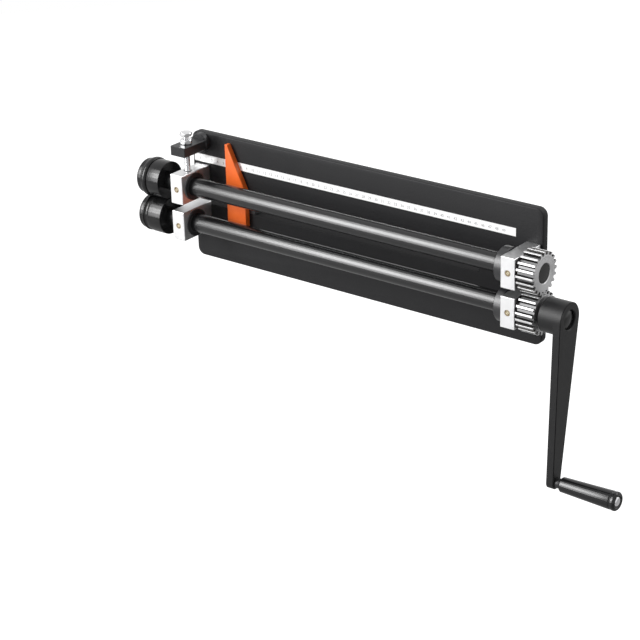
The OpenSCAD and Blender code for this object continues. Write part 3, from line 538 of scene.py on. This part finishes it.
# a plug is bright within clean_r of its middle, and its rim is dark with oil
clean_r = 0.0019
left, right = (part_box(node) for node in ("lower_die_block", "upper_drive_block"))
brass = Finish("turned brass")
scuffs = brass.grain(0.0006)
x, _, z = brass.axes([(left[0][i] + right[1][i]) / 2 for i in range(3)])
across = abs(abs(x) - (right[0].x - left[0].x) / 2)
apart = abs(abs(z) - (right[0].z - left[0].z) / 2)
groove = (across * across + apart * apart) ** 0.5 > clean_r
metal = brass.mix((0.60, 0.53, 0.38), (0.84, 0.78, 0.62), scuffs)
brass.wear(
    colour=brass.mix(metal, (0.30, 0.24, 0.15), groove),
    metal=1.0, rough=0.22 + scuffs * 0.2 + groove * 0.1,
    normal=brass.relief(scuffs, 0.00002),
)
for node, body in (("oil_plugs", "frame"), ("sliding_block_plug", "carrier")):
    rounded(node + "_brass", node, brass, body, "plug_brass", edge=0.0003)


def socket_screw(shank, radius, wide, tall, key, deep):
    """A socket head screw from its tip: shank, knurled and chamfered head, hexagonal socket."""
    head_r, top, key_r, no_limit = wide / 2, shank + tall, key / 2, 1
    foot, under, knurl_end, knurl_deep = 0.0004, 0.0005, 0.0009, 0.00012
    drop, taken_in, chamfer = 0.0006, 0.0002, 0.0008
    mouth, mouth_share, cone = 0.0003, 1.06, 0.0008
    knurl = round_rows([(shank + foot, head_r), (top - knurl_end, head_r)])
    knurl[:, 1:] -= knurl_deep * (np.arange(knurl.shape[1] - 1) % 4 < 2)
    return (round_rows(tip(radius) + [(shank, radius), (shank, head_r - under)]),
            knurl,
            round_rows([(top - drop, head_r - taken_in), (top, head_r - chamfer)]),
            six_sided([(top, key_r * mouth_share, no_limit), (top - mouth, key_r, no_limit),
                       (top - deep, key_r, no_limit)]),
            round_rows([(top - deep - cone, 0)]))


low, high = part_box("block_screws")
shank, half_span = plate_back - low.y, 0.008
screw = socket_screw(shank, radius=0.003, wide=0.010, tall=high.y - low.y - shank, key=0.005,
                     deep=0.003)
grids = []
for node in ("lower_die_block", "lower_drive_block", "upper_drive_block"):
    corner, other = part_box(node)
    for side in (-half_span, half_span):
        spot = ((corner.x + other.x) / 2, low.y, (corner.z + other.z) / 2 + side)
        grids.append(turned(spot, backwards, *screw))
put("socket_screws", skin(*grids), zinc, "frame", "fastener", "block_screws")

# Slide hardware behind the sliding block
# Two studs ride in the plate's upright slot. A steel strap bridges them behind the plate under
# two nuts, so the block slides without leaving the plate.
plain = Finish("plain oiled steel")
mill, stain = plain.grain(0.0005, 3, (1, 1, 25)), plain.grain(0.006)
plain.wear(
    colour=plain.mix((0.25, 0.25, 0.26), (0.40, 0.40, 0.41), stain * 0.6 + mill * 0.4),
    metal=1.0, rough=0.30 + mill * 0.2,
    normal=plain.relief(mill, 0.00003),
)
rounded("slide_strap", "guide_plate", plain, "carrier", "guide_steel", edge=0.0006, rounds=3)


def threads(start, end, radius, pitch, turns=96, per_pitch=10):
    """A thread: its radius falls from the crest to a V, one turn to a pitch.

    It is deep times the pitch deep, fades within a pitch of its ends, and slope and crest leave a
    tenth of the pitch flat at crest and root."""
    deep, slope, crest = 0.54, 1.25, 0.125
    rows = max(2, int(round((end - start) / pitch * per_pitch)) + 1)
    far = np.linspace(start, end, rows)[:, None]
    angle = np.arange(turns)[None, :] / turns
    wave = np.abs(((far - start) / pitch - angle) % 1 * 2 - 1)
    fade = np.clip(np.minimum(far - start, end - far) / pitch, 0, 1)
    cut = deep * pitch * np.clip(wave * slope - crest, 0, 1) * fade
    return np.concatenate((far, radius - cut), axis=1)


low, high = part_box("guide_studs")
nuts_low, nuts_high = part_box("guide_nuts")
mid_x, long, nut_l = (low.x + high.x) / 2, high.y - low.y, nuts_high.y - nuts_low.y
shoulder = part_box("guide_plate")[0].y - low.y
thread_r, pitch, slide_r, block_l, strap_t = 0.003, 0.001, 0.005, 0.0128, 0.0035
nut_wide, bore_r, mouth_r, sink = 0.010, 0.00302, 0.0034, 0.0004
step, edge, chamfer = 0.0001, 0.0003, 0.0006
studs, nuts = [], []
# a stud from its tip: the part in the block, the shoulder that slides, and the threaded end
for z in (low.z + slide_r, high.z - slide_r):
    studs.append(turned((mid_x, low.y, z), backwards,
                        round_rows([(0, 0), (0, 0.0026), (0.0005, thread_r), (block_l, thread_r),
                                    (block_l + step, slide_r - edge),
                                    (block_l + step + edge, slide_r),
                                    (shoulder - edge, slide_r), (shoulder, slide_r - edge),
                                    (shoulder, thread_r)]),
                        threads(shoulder + strap_t, long - chamfer, thread_r, pitch),
                        round_rows([(long, thread_r - chamfer), (long, 0)])))
    nuts.append(turned((mid_x, nuts_low.y, z), backwards,
                       round_rows([(sink, bore_r), (0, mouth_r)]),
                       hexagon(0, nut_l, nut_wide, (False, True)),
                       round_rows([(nut_l, mouth_r), (nut_l - sink, bore_r)])))
put("slide_studs", skin(*studs), zinc, "carrier", "fastener", "guide_studs")
put("slide_nuts", skin(*nuts, ring=True), zinc, "carrier", "fastener", "guide_nuts")

# Press screw, its pad and lock nut
# The chromed screw goes through the arm and presses the sliding block down over a swivel pad. A
# lock nut of the same size keeps it set.
chrome = Finish("polished chrome")
haze = chrome.grain(0.004)
chrome.wear(
    colour=chrome.mix((0.66, 0.66, 0.67), (0.80, 0.80, 0.81), haze),
    metal=1.0, rough=0.05 + haze * 0.05,
    normal=chrome.relief(chrome.grain(0.0008), 0.00001),
)
rounded("swivel_pad", "screw_pad", plain, "pad", "guide_steel", edge=0.0003)
upwards = (0, 0, 1)
low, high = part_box("press_screw")
axis_x, axis_y, long = (low.x + high.x) / 2, (low.y + high.y) / 2, high.z - low.z
screw_r, core_r, pitch, pilot_r, pilot_l = 0.004, 0.0034, 0.00125, 0.0025, 0.00125
head_wide, head_tall, seat_r, edge, chamfer = 0.015, 0.0053, 0.0071, 0.0003, 0.0004
head = long - head_tall
# the pilot in the pad, the thread, the washer face under the head, and the head
grid = turned((axis_x, axis_y, low.z), upwards,
              round_rows([(0, 0), (0, pilot_r - chamfer), (chamfer, pilot_r), (pilot_l, pilot_r),
                          (pilot_l, core_r)]),
              threads(0.002, head - 0.0008, screw_r, pitch),
              round_rows([(head - chamfer, screw_r), (head, screw_r), (head, seat_r - edge),
                          (head + edge, seat_r)]),
              hexagon(head + edge, long - 0.0002, head_wide),
              round_rows([(long, 0.0064), (long, 0)]))
put("press_screw_chrome", skin(grid), chrome, "screw", "screw_chrome", "press_screw")

low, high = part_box("lock_nut")
tall, bore_r, mouth_r, sink, relief = high.z - low.z, 0.00405, 0.0047, 0.0006, 0.0001
grid = turned((axis_x, axis_y, low.z), upwards,
              round_rows([(sink, bore_r), (0, mouth_r), (0, 0.0072)]),
              hexagon(relief, tall - relief, head_wide),
              round_rows([(tall, 0.0068), (tall, mouth_r), (tall - sink, bore_r)]))
put("lock_nut_chrome", skin(grid, ring=True), chrome, "locknut", "screw_chrome", "lock_nut")


# Shafts
# Two ground and blackened bars, 25 mm thick, turned down at the left where the rolls sit. The
# lower one is longer and ends, slightly domed, in the recess of the crank's hub.
def softened(points, size, steps=5, most=0.45):
    """Rounds each inner corner of a line by the curve (1-t)^2 a + 2t(1-t) c + t^2 b.

    The points a and b lie size away from the corner c, or most of the way to the next one."""
    line = np.asarray(points, float)
    corner = line[1:-1]
    a, b = (corner + side * np.minimum(size / np.linalg.norm(side, axis=1, keepdims=True), most)
            for side in (line[:-2] - corner, line[2:] - corner))
    t = np.linspace(0, 1, steps + 1)[None, :, None]
    curve = (1 - t) ** 2 * a[:, None] + 2 * t * (1 - t) * corner[:, None] + t ** 2 * b[:, None]
    return np.concatenate((line[:1], curve.reshape(-1, line.shape[1]), line[-1:]))


def lathe_lines(finish, centre, size):
    """Noise that changes only along the X axis and away from it, as a lathe tool leaves it."""
    x, y, z = finish.axes(centre)
    out = (y * y + z * z) ** 0.5
    spot = finish.node("ShaderNodeCombineXYZ", {}, {0: x / size, 1: out / size})
    return finish.node("ShaderNodeTexNoise", {}, {"Vector": spot, "Scale": 1.0, "Detail": 3.0})


low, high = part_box("lower_shaft")
upper_low, upper_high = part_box("upper_shaft")
axis_y, left_x = (low.y + high.y) / 2, low.x
upper_z, lower_z = (upper_low.z + upper_high.z) / 2, (low.z + high.z) / 2
levels, rightwards = (("upper", upper_z), ("lower", lower_z)), (1, 0, 0)
nose_l, nose_r, shaft_r, end_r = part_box("upper_die")[1].x - left_x, 0.010, 0.0125, 0.0121
chamfer, hole_l, hole_r, mouth_r, turns = 0.0004, 0.018, 0.0042, 0.0045, 128
for (side, z), end_x, dome in zip(levels, (upper_high.x, high.x), (0.0003, 0.0020)):
    satin = Finish(side + " shaft black")
    rings, drift = lathe_lines(satin, (0, axis_y, z), 0.0006), satin.grain(0.03, 2, (3, 1, 1))
    satin.wear(
        colour=satin.mix((0.005, 0.005, 0.0055), (0.010, 0.010, 0.0105), drift),
        rough=0.15 + rings * 0.07 + drift * 0.05, ior=1.49,
        normal=satin.relief(rings, 0.000012),
    )
    long = end_x - left_x
    # the tapped hole's mouth, the nose for the roll, the bar, and a chamfer before the end
    line = softened([(0, mouth_r), (0, nose_r), (nose_l, nose_r), (nose_l, shaft_r),
                     (long - dome - chamfer, shaft_r), (long - dome, end_r)], 0.0005)
    # the end's dome: it drops from the middle with the square of the radius
    radii = np.linspace(end_r, 0, 9)
    line = np.concatenate((line, np.stack((long - dome * (radii / end_r) ** 2, radii), axis=-1)))
    grid = turned((left_x, axis_y, z), rightwards,
                  round_rows([(hole_l, 0), (0, hole_r)], turns), round_rows(line, turns))
    put(side + "_shaft_black", skin(grid), satin, side + "_roll", "shaft_black", side + "_shaft")

# Thrust collars
# A turned and blackened steel ring on each shaft, left of the right blocks, keeps the shaft from
# sliding to the right. A set screw pins it.
for side, z in levels:
    node = side + "_collar"
    tooled = Finish(side + " collar")
    rings = lathe_lines(tooled, (0, axis_y, z), 0.0004)
    tooled.wear(
        colour=tooled.mix((0.010, 0.010, 0.011), (0.024, 0.024, 0.026), rings),
        rough=0.24 + rings * 0.12, ior=1.55,
        normal=tooled.relief(rings, 0.00002),
    )
    rounded(node + "_turned", node, tooled, side + "_roll", "collar_oxide", edge=0.0003)
    dress(node + "_screw", zinc)

# Gears and their keys
# Twenty straight teeth cut in bright steel. The lands keep the cutter's long lines and the end
# faces the lathe's rings. Painted shade darkens the flanks and, less, the roots, as shade in the
# tooth gaps.
flank_from, flank_to, root_r, hub_r, face_t = 0.0232, 0.0269, 0.0236, 0.0145, 0.00002
for side, z in levels:
    node = side + "_gear"
    cut = Finish(side + " gear steel")
    rings, strokes = lathe_lines(cut, (0, axis_y, z), 0.0005), cut.grain(0.0005, 2, (40, 1, 1))
    x, up, out = cut.axes((0, axis_y, z))
    away = (up * up + out * out) ** 0.5
    face = ((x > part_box(node)[1].x - face_t) + (away < hub_r)).held()
    # painted shade in the tooth gaps: the roots a little darker, the flanks much darker
    root = (away < root_r) * (1 - face)
    flank_shade = (away > flank_from) * (away < flank_to) * (1 - face) * (1 - root)
    steel = cut.mix((0.66, 0.66, 0.665), (0.15, 0.15, 0.152), root)
    steel = cut.mix(steel, (0.60, 0.60, 0.605), face)
    cut.wear(
        # the flanks' dark colour is painted shade
        colour=cut.mix(steel, (0.035, 0.034, 0.033), flank_shade),
        metal=1.0, rough=0.40 + rings * 0.08 + strokes * 0.10 - face * 0.12,
        normal=cut.relief(rings * face * 8 + strokes * (1 - face), 0.00005),
    )
    rounded(node + "_cut", node, cut, side + "_roll", "gear_steel", edge=0.00022)
    dress(node + "_key", plain)

# Beading rolls, caps and bolts
# Tool steel, turned and blackened: the upper roll has the bead's ridge and a relief beside it,
# the lower one the groove. A turned cap and a hexagon bolt hold each roll on its nose.
low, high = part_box("upper_die")
wide, body_r, bore_r, bead_x = high.x - low.x, 0.0252, 0.01002, 0.0064
relief_r, relief_x, back_edge, front_edge, dish = 0.0246, 0.0116, 0.0006, 0.0012, 0.0008
hole_r, bolt_r, head_wide, head_tall, face_r, turns = 0.00402, 0.004, 0.013, 0.0053, 0.0056, 144
sweep = np.linspace(0, np.pi, 25)[1:-1]
for side, z in levels:
    node, body = side + "_die", side + "_roll"
    tool = Finish(side + " die oxide")
    rings, patches = lathe_lines(tool, (0, axis_y, z), 0.0004), tool.grain(0.008)
    tool.wear(
        colour=tool.mix((0.005, 0.005, 0.0055), (0.012, 0.012, 0.0125),
                        patches * 0.5 + rings * 0.5),
        rough=0.135 + rings * 0.08 + patches * 0.03, ior=1.36,
        normal=tool.relief(rings, 0.00002),
    )
    # the bead is half an oval: it stands out of the upper roll and is sunk into the lower one
    if side == "upper":
        half, bulge, soft = 0.004, 0.0018, 0.0003
        after = [(bead_x + half, relief_r), (relief_x, relief_r), (relief_x, body_r)]
    else:
        half, bulge, soft = 0.0044, -0.0020, 0.0008
        after = [(bead_x + half, body_r)]
    arc = np.stack((bead_x - half * np.cos(sweep), body_r + bulge * np.sin(sweep)), axis=-1)
    before = softened([(0, bore_r), (0, body_r), (bead_x - half, body_r)], 0.0008)
    after = softened(after + [(wide, body_r), (wide, bore_r)], soft)
    line = np.concatenate((before, arc, after))
    grid = turned((low.x, axis_y, z), rightwards, round_rows(line, turns))
    put(node + "_turned", skin(grid, ring=True), tool, body, "roll_oxide", node)

    start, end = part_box(node + "_cap")
    thick, cap_r = end.x - start.x, (end.z - start.z) / 2
    # the hole, the back, both outer edges, and the dished ring in the front face
    line = softened([(thick, hole_r), (thick, cap_r - back_edge), (thick - back_edge, cap_r),
                     (front_edge, cap_r), (0, cap_r - front_edge), (0, cap_r - 0.0045),
                     (dish, cap_r - 0.0055), (dish, 0.0098), (0, 0.0088), (0, hole_r)], 0.0004)
    grid = turned((start.x, axis_y, z), rightwards, round_rows(line, turns))
    put(node + "_cap_turned", skin(grid, ring=True), tool, body, "roll_oxide", node + "_cap")

    start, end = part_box(node + "_bolt")
    long = end.x - start.x
    grid = turned((start.x, axis_y, z), rightwards, round_rows([(0, 0), (0, face_r)]),
                  hexagon(0.0001, head_tall, head_wide, (True, False)),
                  round_rows([(head_tall, bolt_r), (long - 0.0005, bolt_r), (long, 0.0034),
                              (long, 0)]))
    put(node + "_bolt_zinc", skin(grid), zinc, body, "fastener", node + "_bolt")
    dress(node + "_key", plain)

# Crank
# Hub and tapered arm are one iron casting under a thin satin black coat, with the fine grain of
# the mould showing through. A set screw holds the hub on the lower shaft.
cast = Finish("black cast iron")
sand, lumps = cast.grain(0.0011, 3), cast.grain(0.009)
cast.wear(
    colour=cast.mix((0.009, 0.009, 0.0095), (0.017, 0.017, 0.0175), lumps * 0.6 + sand * 0.4),
    rough=0.30 + sand * 0.12, ior=1.31,
    normal=cast.relief(sand * 0.6 + lumps * 0.4, 0.00012),
)
rounded("crank_casting", "crank_arm", cast, "lower_roll", "crank_coat", edge=0.0010, rounds=3)
dress("crank_set_screw", zinc)

# Handle
# A glossy black plastic grip, thicker at its free end and with a shallow groove there, turns on a
# headed and chromed steel pin. A turned spacer keeps it off the arm.
low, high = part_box("handle_spacer")
pin_y, pin_z, long = (low.y + high.y) / 2, (low.z + high.z) / 2, high.x - low.x
bore_r, spacer_r = 0.00402, 0.0064
line = softened([(0, bore_r), (0, spacer_r), (long, spacer_r), (long, bore_r)], 0.0006)
put("handle_spacer_turned",
    skin(turned((low.x, pin_y, pin_z), rightwards, round_rows(line)), ring=True),
    oxide, "lower_roll", "arm_oxide", "handle_spacer")

low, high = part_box("handle_pin")
long, pin_r, head_r, head_tall, chamfer = high.x - low.x, 0.004, 0.0062, 0.004, 0.0012
line = softened([(0, 0), (0, pin_r), (long - head_tall, pin_r), (long - head_tall, head_r),
                 (long - chamfer, head_r), (long, 0.0046), (long, 0)], 0.0005)
put("handle_pin_turned", skin(turned((low.x, pin_y, pin_z), rightwards, round_rows(line))),
    chrome, "lower_roll", "pin_chrome", "handle_pin")

gloss = Finish("glossy black plastic")
ripple, specks = gloss.grain(0.012, 1, (4, 1, 1)), gloss.grain(0.0009)
gloss.wear(
    colour=gloss.mix((0.004, 0.004, 0.0045), (0.009, 0.009, 0.0095), ripple * 0.7 + specks * 0.3),
    rough=0.11 + ripple * 0.03 + specks * 0.01, ior=1.40,
    normal=gloss.relief(ripple * 0.5 + specks * 0.5, 0.000001),
)
low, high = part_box("handle_grip")
long, rim_r = high.x - low.x, (high.z - low.z) / 2
bore_r, recess_r, recess = 0.00405, 0.00645, 0.0047
# the bore, the narrow end, the taper, the groove, the rim, and the recess for the pin's head
line = softened([(long - recess, bore_r), (0, bore_r), (0, 0.0078), (0.0016, 0.0095),
                 (long - 0.0085, rim_r - 0.0003), (long - 0.0072, rim_r - 0.0010),
                 (long - 0.0060, rim_r - 0.0002), (long - 0.0022, rim_r),
                 (long, rim_r - 0.0020), (long, 0.0086), (long - 0.0014, recess_r),
                 (long - recess, recess_r)], 0.0009)
grid = turned((low.x, pin_y, pin_z), rightwards, round_rows(line, 128))
put("grip_moulded", skin(grid, ring=True), gloss, "grip", "grip_black", "handle_grip")

# Stop gauge
# An orange enamelled steel pointer slides along the throat on a black key. Behind the plate a
# washer and a lobed plastic knob on a stud clamp it.
enamel = Finish("orange enamel")
flow, dust = enamel.grain(0.006), enamel.grain(0.0012)
enamel.wear(
    colour=enamel.mix((0.80, 0.120, 0.012), (0.88, 0.165, 0.024), flow),
    rough=0.34 + dust * 0.10,
    normal=enamel.relief(flow * 0.7 + dust * 0.3, 0.00006),
)
rounded("stop_pointer", "stop_gauge", enamel, "gauge", "gauge_paint", edge=0.0004, rounds=3)
slick = Finish("black slide key")
rub = slick.grain(0.0008, 3, (20, 1, 1))
slick.wear(
    colour=slick.mix((0.012, 0.012, 0.013), (0.05, 0.05, 0.052), rub * rub),
    rough=0.30 + rub * 0.2,
    normal=slick.relief(rub, 0.00003),
)
rounded("slide_key", "gauge_key", slick, "gauge", "key_black", edge=0.0004)
rounded("clamp_washer", "gauge_washer", plain, "gauge", "guide_steel", edge=0.0004)

low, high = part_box("gauge_stud")
stud_x, stud_z, long = (low.x + high.x) / 2, (low.z + high.z) / 2, high.y - low.y
thread_r, tip_r, pitch, chamfer = 0.00295, 0.0024, 0.001, 0.0005
grid = turned((stud_x, low.y, stud_z), backwards, round_rows([(0, 0), (0, tip_r)]),
              threads(chamfer, long - chamfer, thread_r, pitch),
              round_rows([(long, tip_r), (long, 0)]))
put("clamp_stud", skin(grid), zinc, "gauge", "stud_steel", "gauge_stud")

plastic = Finish("black moulded knob")
spark = plastic.grain(0.0005)
plastic.wear(
    colour=plastic.mix((0.014, 0.014, 0.015), (0.022, 0.022, 0.023), spark),
    rough=0.38 + spark * 0.14,
    normal=plastic.relief(spark, 0.00005),
)
low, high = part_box("gauge_knob")
tall, boss_l, boss_r, bore_r, mouth_r = high.y - low.y, 0.005, 0.008, 0.00302, 0.0036
chamfer, turns = 0.0006, 144
# the lobes: the far side of a small circle set on a larger one, blended with the body's own
# round, of 0.985 the ring's radius, by the 24th root of the sum of both to the 24th
ring_r, lobe_r, least_r, round_share, power = 0.01332, 0.00468, 0.0005, 0.985, 24
angle = np.arange(turns) * 2 * np.pi / turns
lean = (angle + np.pi / 6) % (np.pi / 3) - np.pi / 6
lobe = ring_r * np.cos(lean) + np.sqrt(np.maximum(lobe_r ** 2 - (ring_r * np.sin(lean)) ** 2, 0))
outline = np.maximum(lobe, least_r) ** power + (ring_r * round_share) ** power
outline = outline ** (1 / power)
outline *= (ring_r + lobe_r) / outline.max()
# its side: heights over the boss, and shares of the outline there
rim = np.array([(0, 0.80), (0.0004, 0.92), (0.0012, 0.985), (0.002, 1.0), (0.008, 1.0),
                (0.0088, 0.985), (0.0096, 0.93), (0.010, 0.84)])
lobed = np.concatenate((boss_l + rim[:, :1], rim[:, 1:] * outline), axis=1)
boss = round_rows([(boss_l, bore_r), (0.0004, bore_r), (0, mouth_r), (0, boss_r - chamfer),
                   (chamfer, boss_r), (boss_l, boss_r)], turns)
end = round_rows([(tall, 0.0085), (tall - chamfer, 0.0078), (tall - chamfer, 0)], turns)
grid = turned((stud_x, low.y, stud_z), backwards, boss, lobed, end)
bottom = np.array([stud_x, low.y + boss_l, stud_z]) + 0 * grid[:1]
put("clamp_knob", skin(np.concatenate((bottom, grid))), plastic, "knob", "knob_plastic",
    "gauge_knob")
